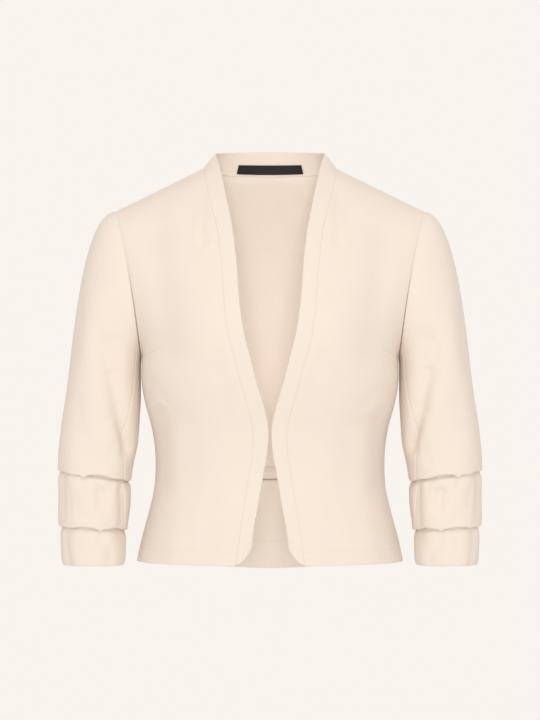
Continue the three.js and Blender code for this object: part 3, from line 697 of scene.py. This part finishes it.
def make_wall(name, sheets, thick, material, flip=False):
    """A closed wall of cloth over sheets that share the points where they touch, with a UV map in metres.

    Each sheet is its points, its normals and its places on the flat cloth.
    """
    numbers, right, wrong, places, faces = {}, [], [], [], []
    for grid, normals, flat in sheets:
        ids = np.zeros(grid.shape[:2], int)
        keys = np.round(grid, SAME_PLACE_DIGITS)
        for i in range(grid.shape[0]):
            for j in range(grid.shape[1]):
                key = tuple(keys[i, j] + 0.0)
                if key not in numbers:
                    numbers[key] = len(right)
                    right.append(grid[i, j])
                    wrong.append(grid[i, j] - normals[i, j] * thick)
                    places.append(flat[i, j])
                ids[i, j] = numbers[key]
        a, b, c, d = ids[:-1, :-1], ids[:-1, 1:], ids[1:, 1:], ids[1:, :-1]
        faces.append(np.stack([a, b, c, d], -1).reshape(-1, 4))
    walls = [tuple(int(v) for v in f) for f in np.concatenate(faces)]
    edges = {(f[k], f[(k + 1) % 4]): f for f in walls for k in range(4)}
    free = sorted(pair for pair in edges if pair[::-1] not in edges)
    behind = len(right)
    outward = {}
    for pair in free:
        middle = np.mean([right[v] for v in edges[pair]], axis=0)
        for v in pair:
            outward[v] = outward.get(v, 0) + right[v] - middle
    rim_point, rims = {}, []
    for v, way in outward.items():
        across = unit(right[v] - wrong[v])
        way = unit(way - across * (way @ across))
        rim_point[v] = 2 * behind + len(rims)
        rims.append((right[v] + wrong[v]) / 2 + way * thick * ROUND_RIM)
    rim = []
    for a, b in free:
        rim.append((b, a, rim_point[a], rim_point[b]))
        rim.append((rim_point[b], rim_point[a], a + behind, b + behind))
    backs = [(a + behind, d + behind, c + behind, b + behind) for a, b, c, d in walls]
    points = np.array(right + wrong + rims) * METRES
    places = np.array(places + places + [places[v] for v in rim_point]) * METRES
    polygons = walls + backs + rim
    if flip:
        points[:, 0] *= -1
        polygons = [tuple(reversed(f)) for f in polygons]
    mesh = bpy.data.meshes.new(name)
    mesh.from_pydata([tuple(p) for p in points], [], polygons)
    corner = np.zeros(len(mesh.loops), int)
    mesh.loops.foreach_get("vertex_index", corner)
    layer = mesh.uv_layers.new(name="cloth")
    layer.data.foreach_set("uv", places[corner].ravel())
    mesh.materials.append(material)
    mesh.validate()
    mesh.polygons.foreach_set("use_smooth", np.ones(len(mesh.polygons), bool))
    mesh.set_sharp_from_angle(angle=SHARP_ANGLE * DEGREE)
    piece = bpy.data.objects.new(name, mesh)
    bpy.context.scene.collection.objects.link(piece)
    return piece


def add_sheet(piece, node, slot, flat, held, area):
    """Hides the solid that a finished sheet stands for and hangs the sheet on the root."""
    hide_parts(node)
    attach(piece, "root")


def socket(tree, kind, **values):
    """A new shader node with some of its inputs set."""
    node = tree.nodes.new(kind)
    for name, value in values.items():
        node.inputs[name.replace("_", " ")].default_value = value
    return node


def math_node(tree, operation, first, second):
    """A Math node of two inputs, each a number or another node's output."""
    node = tree.nodes.new("ShaderNodeMath")
    node.operation = operation
    for place, value in enumerate((first, second)):
        if isinstance(value, (int, float)):
            node.inputs[place].default_value = value
        else:
            tree.links.new(value, node.inputs[place])
    return node.outputs[0]


def vector_node(tree, operation, first, second):
    """A Vector Math node of two inputs, each a vector or another node's output."""
    node = tree.nodes.new("ShaderNodeVectorMath")
    node.operation = operation
    for place, value in enumerate((first, second)):
        if isinstance(value, tuple):
            node.inputs[place].default_value = value
        else:
            tree.links.new(value, node.inputs[place])
    return node.outputs


def colour_node(tree, share, first, second, blend="MIX"):
    """A Mix node of two colours, each a colour or another node's output."""
    node = tree.nodes.new("ShaderNodeMix")
    node.data_type = "RGBA"
    node.blend_type = blend
    tree.links.new(share, node.inputs[MIX_SHARE])
    for place, value in zip(MIX_COLOURS, (first, second)):
        if isinstance(value, tuple):
            node.inputs[place].default_value = value
        else:
            tree.links.new(value, node.inputs[place])
    return node.outputs[MIX_RESULT]


def stitched_and_painted_light_line(tree, place, line):
    """How strongly a line shows at a place on the cloth, from 0 beside it to 1 on it. The lines are stitched
    lines and painted shadow, highlight and shade lines.
    """
    u1, v1, u2, v2, width, _ = line
    length = math.hypot(u2 - u1, v2 - v1)
    way = ((u2 - u1) / length, (v2 - v1) / length, 0.0)
    here = vector_node(tree, "SUBTRACT", place, (u1, v1, 0.0))[0]
    along = vector_node(tree, "DOT_PRODUCT", here, way)["Value"]
    along = math_node(tree, "MINIMUM", math_node(tree, "MAXIMUM", along, 0.0), length)
    nearest = tree.nodes.new("ShaderNodeVectorMath")
    nearest.operation = "SCALE"
    nearest.inputs[0].default_value = way
    tree.links.new(along, nearest.inputs["Scale"])
    away = vector_node(tree, "DISTANCE", here, nearest.outputs[0])["Value"]
    fade = socket(tree, "ShaderNodeMapRange", From_Max=width, To_Min=1.0, To_Max=0.0)
    fade.interpolation_type = "SMOOTHSTEP"
    tree.links.new(away, fade.inputs["Value"])
    return fade.outputs[0]


def cloth_material(name, colour, weave, look, lines=()):
    """Woven cloth: crossed threads on the cloth's own map, uneven yarn, soft blotches, stitched lines and
    lines of painted shadow, highlight and shade.
    """
    material = bpy.data.materials.new(name)
    material.use_nodes = True
    tree = material.node_tree
    shader = tree.nodes["Principled BSDF"]
    thread, relief = weave
    place = tree.nodes.new("ShaderNodeUVMap")
    place.uv_map = "cloth"
    split = tree.nodes.new("ShaderNodeSeparateXYZ")
    tree.links.new(place.outputs[0], split.inputs[0])
    turns = 2 * math.pi / thread
    warp = math_node(tree, "SINE", math_node(tree, "MULTIPLY", split.outputs[0], turns), 0)
    weft = math_node(tree, "SINE", math_node(tree, "MULTIPLY", split.outputs[1], turns), 0)
    threads = math_node(tree, "MULTIPLY", math_node(tree, "MULTIPLY", warp, weft), THREAD_RELIEF)
    yarn = socket(tree, "ShaderNodeTexNoise", **YARN)
    blotch = socket(tree, "ShaderNodeTexNoise", **BLOTCH)
    for noise in (yarn, blotch):
        tree.links.new(place.outputs[0], noise.inputs["Vector"])
    tone = math_node(tree, "MULTIPLY", yarn.outputs["Fac"], YARN_TONE)
    tone = math_node(tree, "ADD", tone, math_node(tree, "MULTIPLY", blotch.outputs["Fac"], BLOTCH_TONE))
    dark, light = ((*(min(part * c, 1) for c in colour), 1) for part in TONES)
    cloth_colour = colour_node(tree, tone, dark, light)
    height = math_node(tree, "ADD", threads, math_node(tree, "MULTIPLY", yarn.outputs["Fac"], YARN_RELIEF))
    for line in lines:
        # Each line darkens or lightens the colour: stitched lines, and on the tape painted shadow, painted
        # highlight and painted shade.
        stitch_and_painted_light = stitched_and_painted_light_line(tree, place.outputs[0], line)
        shade = line[-1]
        tint = (*(1 - part * shade for part in LINE_TINT), 1)
        cloth_colour = colour_node(tree, stitch_and_painted_light, cloth_colour, tint, blend="MULTIPLY")
        height = math_node(tree, "SUBTRACT", height, math_node(tree, "MULTIPLY", stitch_and_painted_light, LINE_RELIEF * shade))
    tree.links.new(cloth_colour, shader.inputs["Base Color"])
    bump = socket(tree, "ShaderNodeBump", Strength=relief, Distance=RELIEF_DEPTH)
    tree.links.new(height, bump.inputs["Height"])
    tree.links.new(bump.outputs[0], shader.inputs["Normal"])
    low, high = (look["rough"] + change for change in ROUGH_RANGE)
    spread = socket(tree, "ShaderNodeMapRange", To_Min=low, To_Max=high)
    tree.links.new(yarn.outputs["Fac"], spread.inputs["Value"])
    tree.links.new(spread.outputs[0], shader.inputs["Roughness"])
    shader.inputs["Sheen Weight"].default_value = look["sheen"]
    for name, value in FIXED_LOOK.items():
        shader.inputs[name].default_value = value
    return material


def share_side(grid, normals, face, column):
    """Sets the normals at the side seam and the armhole, and moves the cloth off the armhole seam."""
    for i, row in enumerate(body_rows):
        angle = armhole_angle(row)
        if angle < 0:
            normals[i, column] = (1, 0, 0)
        else:
            normals[i, column] = armhole_normal(face, angle, 1)
            grid[i, column] -= armhole_gap(face, angle)


def flat_places(grid, across):
    """Places on the flat cloth: a distance across, and the way up each column."""
    up = distance_from(grid, "first row")
    return np.stack([across, up], -1)


def make_front(side):
    """A front panel and its band."""
    band_spread = steps(BAND_WIDTH, pitch=FINE_PITCH)
    panel_spread = steps(FRONT_WIDTH)
    rows = [front_row(row, band_spread, panel_spread) for row in body_rows]
    band = np.array([r[0] for r in rows])
    panel = np.array([r[1] for r in rows])
    whole = np.concatenate((band, panel[:, 1:]), axis=1)
    seam = band.shape[1] - 1
    normals = normals_of(whole)
    depth = fold_depth(FRONT_FOLDS[side], whole[..., 0], whole[..., 2])
    calm = calmed(whole, ["last column", "last row"])
    calm[:, seam:] *= calmed(whole[:, seam:], ["first column"], BAND_CALM_REACH)
    calm[:, :seam] = 0
    whole = whole - normals * (depth * calm)[..., None]
    normals = normals_of(whole)
    share_side(whole, normals, "front", -1)
    normals[-1, seam:] = SHOULDER_NORMAL
    normals[-1, :seam] = BAND_NORMAL
    normals[-1, seam] = unit(SHOULDER_NORMAL + BAND_NORMAL)
    flat = flat_places(whole, distance_from(whole, "first column") + at(FRONT, "edge", body_rows)[:, None])
    band, panel = whole[:, :seam + 1].copy(), whole[:, seam:].copy()
    band_normals, panel_normals = normals[:, :seam + 1], normals[:, seam:]
    pull(band, "last column")
    pull(panel, "first column")
    pull(panel, "last column", body_rows <= UNDERARM_ROW)
    pull(band, "last row")
    pull(panel, "last row")
    press_seams(band, band_normals, ["last column"])
    press_seams(panel, panel_normals, ["first column", "last column", "last row"])
    ends = []
    for x, z in DART:
        miss = np.hypot(whole[..., 0] - x, whole[..., 2] - z)
        ends.extend(METRES * flat[np.unravel_index(np.argmin(miss), miss.shape)])
    lines = [(*ends, *DART_LINE), FRONT_HEM_LINE]
    cloth = cloth_material(f"front_cloth_{side}", CREAM, CREAM_WEAVE, CLOTH_LOOK, lines)
    flip = side == "right"
    front = make_wall(f"front_panel_{side}", [(panel, panel_normals, flat[:, seam:])], CLOTH, cloth, flip)
    band_sheet = (band, band_normals, flat[:, :seam + 1])
    edge = make_wall(f"front_edge_{side}", [band_sheet], BAND_CLOTH, cream_cloth, flip)
    add_sheet(front, f"front_{side}", "cloth", **CUT["front"])
    add_sheet(edge, f"band_{side}", "cloth", **CUT["band"])


def back_halves():
    """Both halves of the back from the hem to the shoulders, the wearer's left one first."""
    below, neck = body_rows <= NECK_ROW, body_rows > NECK_ROW
    spread = steps(BACK_WIDTH, first=False)
    grid = settle(np.array([back_row(row, spread) for row in body_rows]))
    calm = calmed(grid, ["first column", "last row"])
    calm[neck] *= calmed(grid, ["last column"])[neck]
    depths = [fold_depth(BACK_FOLDS, way * grid[..., 0], grid[..., 2]) * calm for way in (1, -1)]
    middle = (depths[0][:, -1] + depths[1][:, -1]) / 2
    inward = normals_of(grid)
    inward[below, -1] = centred(inward[below, -1])
    halves = []
    for way, depth in zip((1, -1), depths):
        depth[:, -1] = middle
        half = grid - inward * depth[..., None]
        normals = normals_of(half)
        normals[below, -1] = centred(normals[below, -1])
        share_side(half, normals, "back", 0)
        normals[-1, :] = SHOULDER_NORMAL
        normals[-1, -1] = unit(SHOULDER_NORMAL + BAND_NORMAL)
        halves.append((half, normals, flat_places(half, distance_from(half, "last column") * way)))
    return halves


def cut_at_waist(half, normals, flat):
    """A half of the back above the waist seam and its peplum, moved off their seams and pressed."""
    low, high = body_rows <= WAIST_ROW, body_rows >= WAIST_ROW
    upper, upper_normals = half[high], normals[high]
    neck = np.flatnonzero(body_rows[high] > NECK_ROW)
    pull(upper, "first row")
    pull(upper, "last row")
    pull(upper, "first column", body_rows[high] <= UNDERARM_ROW)
    pull(upper, "last column", neck, CLOSE_PULL)
    collar = neck[0] - 1
    upper[collar, -1] += unit(upper[collar - 1, -1] - upper[collar, -1]) * CLOSE_PULL
    away = np.linalg.norm(upper - upper[collar, -1], axis=-1)
    away[neck] = np.minimum(away[neck], distance_from(upper, "last column")[neck])
    press_seams(upper, upper_normals, ["first row", "last row", "first column"])
    upper -= upper_normals * groove(away)
    peplum, peplum_normals = half[low], normals[low]
    pull(peplum, "last row")
    pull(peplum, "first column")
    press_seams(peplum, peplum_normals, ["last row", "first column"])
    return (upper, upper_normals, flat[high]), (peplum, peplum_normals, flat[low])


def tape_half(peplum, normals, way):
    """Half of the tape, laid inside the top of the peplum."""
    rows = body_rows[body_rows <= WAIST_ROW]
    places = np.linspace(TAPE_ROWS["low"], TAPE_ROWS["high"], RIBBON_ROWS)
    places = np.interp(places, rows, np.arange(len(rows)))
    columns = np.arange(0.0, peplum.shape[1])
    grid, away = lay_inside(peplum, normals, places, columns, CLOTH + LAYER_GAP + TAPE_CLOTH)
    return grid, away, flat_places(grid, distance_from(grid, "first column") * -way)


def both_halves(grid, normals, flat):
    """A half sheet twice, with places on the flat cloth to the left and to the right of its middle."""
    return (grid, normals, flat), (grid, normals, flat * np.array([-1, 1]))


def make_back():
    """The back above the waist, the peplum, the stand round the neck, the tape and the label."""
    halves = back_halves()
    shares = (body_rows[body_rows >= NECK_ROW] - NECK_ROW) / (SHOULDER_ROW - NECK_ROW)
    heights = steps(STAND_HEIGHT, pitch=FINE_PITCH)
    seam = np.array([neck_point(s) for s in shares])[::-1]
    edge = np.array([stand_point(s) for s in shares])[::-1]
    stand = seam + (edge - seam) * heights[:, None, None]
    stand_normals = normals_of(stand)
    stand_normals[:, 0] = BAND_NORMAL
    stand_normals[:, -1] = centred(stand_normals[:, -1])
    for k in range(1, len(shares)):
        row = len(body_rows) - 1 - k
        stand_normals[0, k] = unit(stand_normals[0, k] + halves[0][1][row, -1])
        for _, normals, _ in halves:
            normals[row, -1] = stand_normals[0, k]
    upper, peplum = zip(*(cut_at_waist(*half) for half in halves))
    tape = [tape_half(grid, normals, way) for way, (grid, normals, _) in zip((1, -1), peplum)]
    pull(stand, "first row", far=CLOSE_PULL)
    pull(stand, "first column")
    label_rows = np.linspace(LABEL_PLACE["low"], LABEL_PLACE["high"], RIBBON_ROWS)
    label_rows = np.interp(label_rows, heights, np.arange(len(heights)))
    first = np.searchsorted(-shares[::-1], -LABEL_PLACE["share"])
    columns = np.arange(first, len(shares)).astype(float)
    depth = BAND_CLOTH + LAYER_GAP + LABEL_CLOTH
    label, away = lay_inside(stand, stand_normals, label_rows, columns, depth)
    press_seams(stand, stand_normals, ["first row", "first column"])
    stands = both_halves(stand, stand_normals, flat_places(stand, distance_from(stand, "last column")))
    labels = both_halves(label, away, flat_places(label, distance_from(label, "first column")))
    pieces = [
        ("back_panel", "back_upper", upper, CLOTH, cream_cloth, "cloth"),
        ("peplum_panel", "back_peplum", peplum, CLOTH, hem_cloth, "cloth"),
        ("neck_stand", "band_back", stands, BAND_CLOTH, cream_cloth, "cloth"),
        ("waist_tape", "back_waist_binding", tape, TAPE_CLOTH, tape_cloth_painted_light, "binding"),
        ("neck_label", "label", labels, LABEL_CLOTH, label_cloth, "label"),
    ]
    for name, node, (left, right), thick, material, slot in pieces:
        piece = make_wall(name, [left, other_half(*right)], thick, material)
        add_sheet(piece, node, slot, **CUT[node])


def sleeve_row(z):
    """Numbers of the sleeve table's rows at heights."""
    return np.interp(-np.asarray(z, float), -SLEEVE["z"], np.arange(len(SLEEVE["z"])))


def sleeve_angle(column, z):
    """The angle of a sleeve's column at a height. The columns keep to the two seams."""
    column = np.asarray(column, float) % SLEEVE_COLUMNS
    front = at(SLEEVE, "seam", sleeve_row(z))
    under = (column - FRONT_SEAM_COLUMN) / (BACK_SEAM_COLUMN - FRONT_SEAM_COLUMN)
    rest = (column - BACK_SEAM_COLUMN) / (SLEEVE_COLUMNS - BACK_SEAM_COLUMN)
    behind = BACK_SEAM_ANGLE + (360 - BACK_SEAM_ANGLE) * rest
    angle = np.where(under <= 1, front + (BACK_SEAM_ANGLE - front) * under, behind)
    return np.where(column <= FRONT_SEAM_COLUMN, front * column / FRONT_SEAM_COLUMN, angle)


def armhole_start(column):
    """The face of the armhole that a sleeve's column starts from, and the angle on it."""
    angle = 180 - 360 * (column % SLEEVE_COLUMNS) / SLEEVE_COLUMNS
    return "front" if angle >= 0 else "back", abs(angle)


def sleeve_fold(side, angle, z):
    """How deep a sleeve's folds press in, all the way round."""
    folds, scale = SLEEVE_FOLDS[side], SLEEVE_RADIUS * DEGREE
    return sum(fold_depth(folds, angle + turn, z, scale) for turn in (-360, 0, 360))


def pucker_height(angle, z):
    """How far the puckers under the tucks stand out."""
    out = 0
    for middle, height, size, far in zip(*(PUCKERS[name] for name in ("angle", "z", "size", "out"))):
        turn = (angle - middle + 180) % 360 - 180
        out = out + far * np.exp(-((turn * DEGREE * SLEEVE_RADIUS / size) ** 2) - ((z - height) / size) ** 2)
    return out


def edge_dip(side, angle, z, inside):
    """How far a tuck's folded edge hangs lower than its line."""
    down = 0
    for middle, height, width, drop in zip(*(EDGE_DIPS[name] for name in ("angle", "z", "width", "drop"))):
        turn = (angle - middle - DIP["shift"][side] + 180) % 360 - 180
        near = np.exp(-(((z - height) / DIP["reach"]) ** 2))
        near = near * np.clip((TUCK_MIDDLE - inside) / DIP["fade"], 0, 1)
        down = down + drop * np.exp(-((turn * DEGREE * SLEEVE_RADIUS / width) ** 2)) * near
    return down


def arm_point(side, column, z, inside):
    """A point round the arm, a distance inside the sleeve's outline."""
    row = sleeve_row(z)
    angle = sleeve_angle(column, z)
    outer, inner = at(SLEEVE, "outer", row), at(SLEEVE, "inner", row)
    inset = inside + sleeve_fold(side, angle, z) - pucker_height(angle, z) * (inside < PUCKERED)
    x, y = oval(angle * DEGREE, SLEEVE_SQUARE)
    drop = edge_dip(side, angle, z, inside)
    return np.stack([
        (outer + inner) / 2 + x * ((outer - inner) / 2 - inset),
        at(SLEEVE, "y", row) - y * (at(SLEEVE, "half", row) - inset),
        z + at(SLEEVE, "tilt", row) * np.cos(angle * DEGREE) - drop,
    ], -1)


def cap_column(side, column, spread):
    """One column of the sleeve head, from the armhole down to the arm."""
    face, angle = armhole_start(column)
    arm = float(sleeve_angle(column, SLEEVE_PATH["z"][0]))
    inward = np.array([-math.cos(arm * DEGREE), math.sin(arm * DEGREE), 0])
    up = (1 - math.cos(angle * DEGREE)) / 2
    low, high = CAP["underarm"], CAP["shoulder"]
    out, down, join, gather = (low[name] * (1 - up) + high[name] * up for name in low)
    puff = ARMHOLE[face]["way"] * CAP["puff"] * math.sin(angle * DEGREE)
    start = armhole_point(face, angle) + armhole_gap(face, angle)
    end = arm_point(side, column, SLEEVE_PATH["z"][0], 0)
    leave = start + np.array([out, puff, -down])
    arrive = end + np.array([-gather, 0, join])
    t = spread[:, None]
    curve = start * (1 - t) ** 3 + 3 * leave * t * (1 - t) ** 2 + 3 * arrive * t**2 * (1 - t) + end * t**3
    here = sleeve_fold(side, np.full(len(spread), arm), curve[:, 2])
    joined = sleeve_fold(side, np.array([arm]), SLEEVE_PATH["z"][:1])
    depth = (here - joined) * spread**2 * (3 - 2 * spread)
    return curve + inward * depth[:, None]


def sleeve_places():
    """Heights and depths of the sleeve's rows below its head, closer together where a tuck turns."""
    fine = np.linspace(0, len(SLEEVE_PATH["z"]) - 1, PATH_POINTS)
    z, inside = at(SLEEVE_PATH, "z", fine), at(SLEEVE_PATH, "in", fine)
    length = np.concatenate(([0], np.cumsum(np.hypot(np.diff(z), np.diff(inside)))))
    turn = sum(np.exp(-(((z - height) / reach) ** 2)) for height, reach in TUCK_TURNS)
    density = 1 / PITCH + TURN_DENSITY * np.clip(turn, 0, 1) * (inside > TURN_INSIDE)
    total = np.concatenate(([0], np.cumsum(np.diff(length) * (density[1:] + density[:-1]) / 2)))
    places = np.interp(np.linspace(0, total[-1], int(total[-1])), total, fine)
    return at(SLEEVE_PATH, "z", places), at(SLEEVE_PATH, "in", places)


def make_sleeve(side):
    """Both cuts of a sleeve."""
    whole, under_part = SLEEVE_COLUMNS + FRONT_SEAM_COLUMN, BACK_SEAM_COLUMN - FRONT_SEAM_COLUMN
    upper = BACK_SEAM_COLUMN + steps(UPPER_GIRTH) * (whole - BACK_SEAM_COLUMN)
    under = whole + steps(UNDER_GIRTH) * under_part
    columns = np.concatenate((upper, under[1:]))
    spread = steps(CAP_HEIGHT, last=False)[:-1]
    cap = np.stack([cap_column(side, column, spread) for column in columns], 1)
    arm = np.stack([arm_point(side, columns, z, inside) for z, inside in zip(*sleeve_places())])
    grid = np.concatenate((cap, arm))
    normals = normals_of(grid)
    ends = unit(normals[:, 0] + normals[:, -1])
    normals[:, 0], normals[:, -1] = ends, ends
    for j, column in enumerate(columns):
        normals[0, j] = armhole_normal(*armhole_start(column), -1)
    outer = int(np.argmin(np.abs(columns - SLEEVE_COLUMNS)))
    round_arm = distance_from(grid, "first column")
    flat = np.stack([round_arm - round_arm[:, outer:outer + 1], -distance_from(grid, "first row")], -1)
    seam = len(upper)
    for name, part in (("upper", slice(0, seam)), ("under", slice(seam - 1, len(columns)))):
        piece_grid, piece_normals = grid[:, part].copy(), normals[:, part]
        pull(piece_grid, "first column")
        pull(piece_grid, "last column")
        press_seams(piece_grid, piece_normals, ["first row", "first column", "last column"])
        sheet = (piece_grid, piece_normals, flat[:, part])
        piece = make_wall(f"{name}_sleeve_{side}", [sheet], SLEEVE_CLOTH, cream_cloth, side == "right")
        add_sheet(piece, f"sleeve_{name}_{side}", "cloth", **CUT[f"sleeve_{name}"])


def add_light(name, place, aim, width, height, power):
    """A soft lamp."""
    lamp = bpy.data.lights.new(name, "AREA")
    lamp.shape = "RECTANGLE"
    lamp.size = width
    lamp.size_y = height
    lamp.energy = power
    lamp.color = LAMP_COLOUR
    light = bpy.data.objects.new(name, lamp)
    light.location = place
    way = Vector(aim) - Vector(place)
    light.rotation_euler = way.to_track_quat("-Z", "Y").to_euler()
    light.visible_camera = False
    bpy.context.scene.collection.objects.link(light)


def make_studio():
    """The camera, a pale floor, plain light and a pale ground."""
    scene = bpy.context.scene
    lens = bpy.data.cameras.new("camera")
    lens.sensor_width = CAMERA["sensor"]
    lens.lens = CAMERA["lens"]
    lens.clip_end = CAMERA["far"]
    camera = bpy.data.objects.new("camera", lens)
    camera.location = (0, -CAMERA["distance"], CAMERA["height"])
    camera.rotation_euler = (90 * DEGREE, 0, 0)
    scene.collection.objects.link(camera)
    scene.camera = camera
    world = bpy.data.worlds.new("studio")
    world.use_nodes = True
    ground = world.node_tree.nodes["Background"]
    ground.inputs["Color"].default_value = (*GROUND, 1)
    seen = world.node_tree.nodes.new("ShaderNodeLightPath")
    strength = math_node(world.node_tree, "MAXIMUM", seen.outputs["Is Camera Ray"], AMBIENT)
    world.node_tree.links.new(strength, ground.inputs["Strength"])
    scene.world = world
    scene.view_settings.view_transform = "Standard"
    bpy.ops.mesh.primitive_circle_add(
        vertices=FLOOR["corners"], radius=FLOOR["radius"], fill_type="NGON", location=(0, 0, FLOOR["z"]))
    floor = bpy.context.active_object
    floor.name = "studio_floor"
    paint = bpy.data.materials.new("studio_floor")
    paint.use_nodes = True
    shader = paint.node_tree.nodes["Principled BSDF"]
    shader.inputs["Base Color"].default_value = (*(FLOOR["paint"] * c for c in GROUND), 1)
    shader.inputs["Emission Color"].default_value = (*GROUND, 1)
    shader.inputs["Emission Strength"].default_value = FLOOR["glow"]
    shader.inputs["Roughness"].default_value = 1
    shader.inputs["Specular IOR Level"].default_value = 0
    floor.data.materials.append(paint)
    floor.visible_diffuse = False
    for lamp in LIGHTS:
        add_light(*lamp)


body_rows = [0.0]
for low, high, height, first, last in STRETCHES:
    body_rows.extend(low + (high - low) * share for share in steps(height, first=first, last=last)[1:])
body_rows = np.array(body_rows)

cream_cloth = cloth_material("cream_cloth", CREAM, CREAM_WEAVE, CLOTH_LOOK)
hem_cloth = cloth_material("peplum_cloth", CREAM, CREAM_WEAVE, CLOTH_LOOK, PEPLUM_LINES)
# The tape's material carries its painted shadow, painted highlight and painted shade lines.
tape_cloth_painted_light = cloth_material("binding_tape_painted_light", TAPE, TAPE_WEAVE, CLOTH_LOOK, TAPE_PAINTED_LIGHT_LINES)
label_cloth = cloth_material("label_ribbon", BLACK, LABEL_WEAVE, LABEL_LOOK)

for side in ("left", "right"):
    make_front(side)
    make_sleeve(side)
make_back()
make_studio()
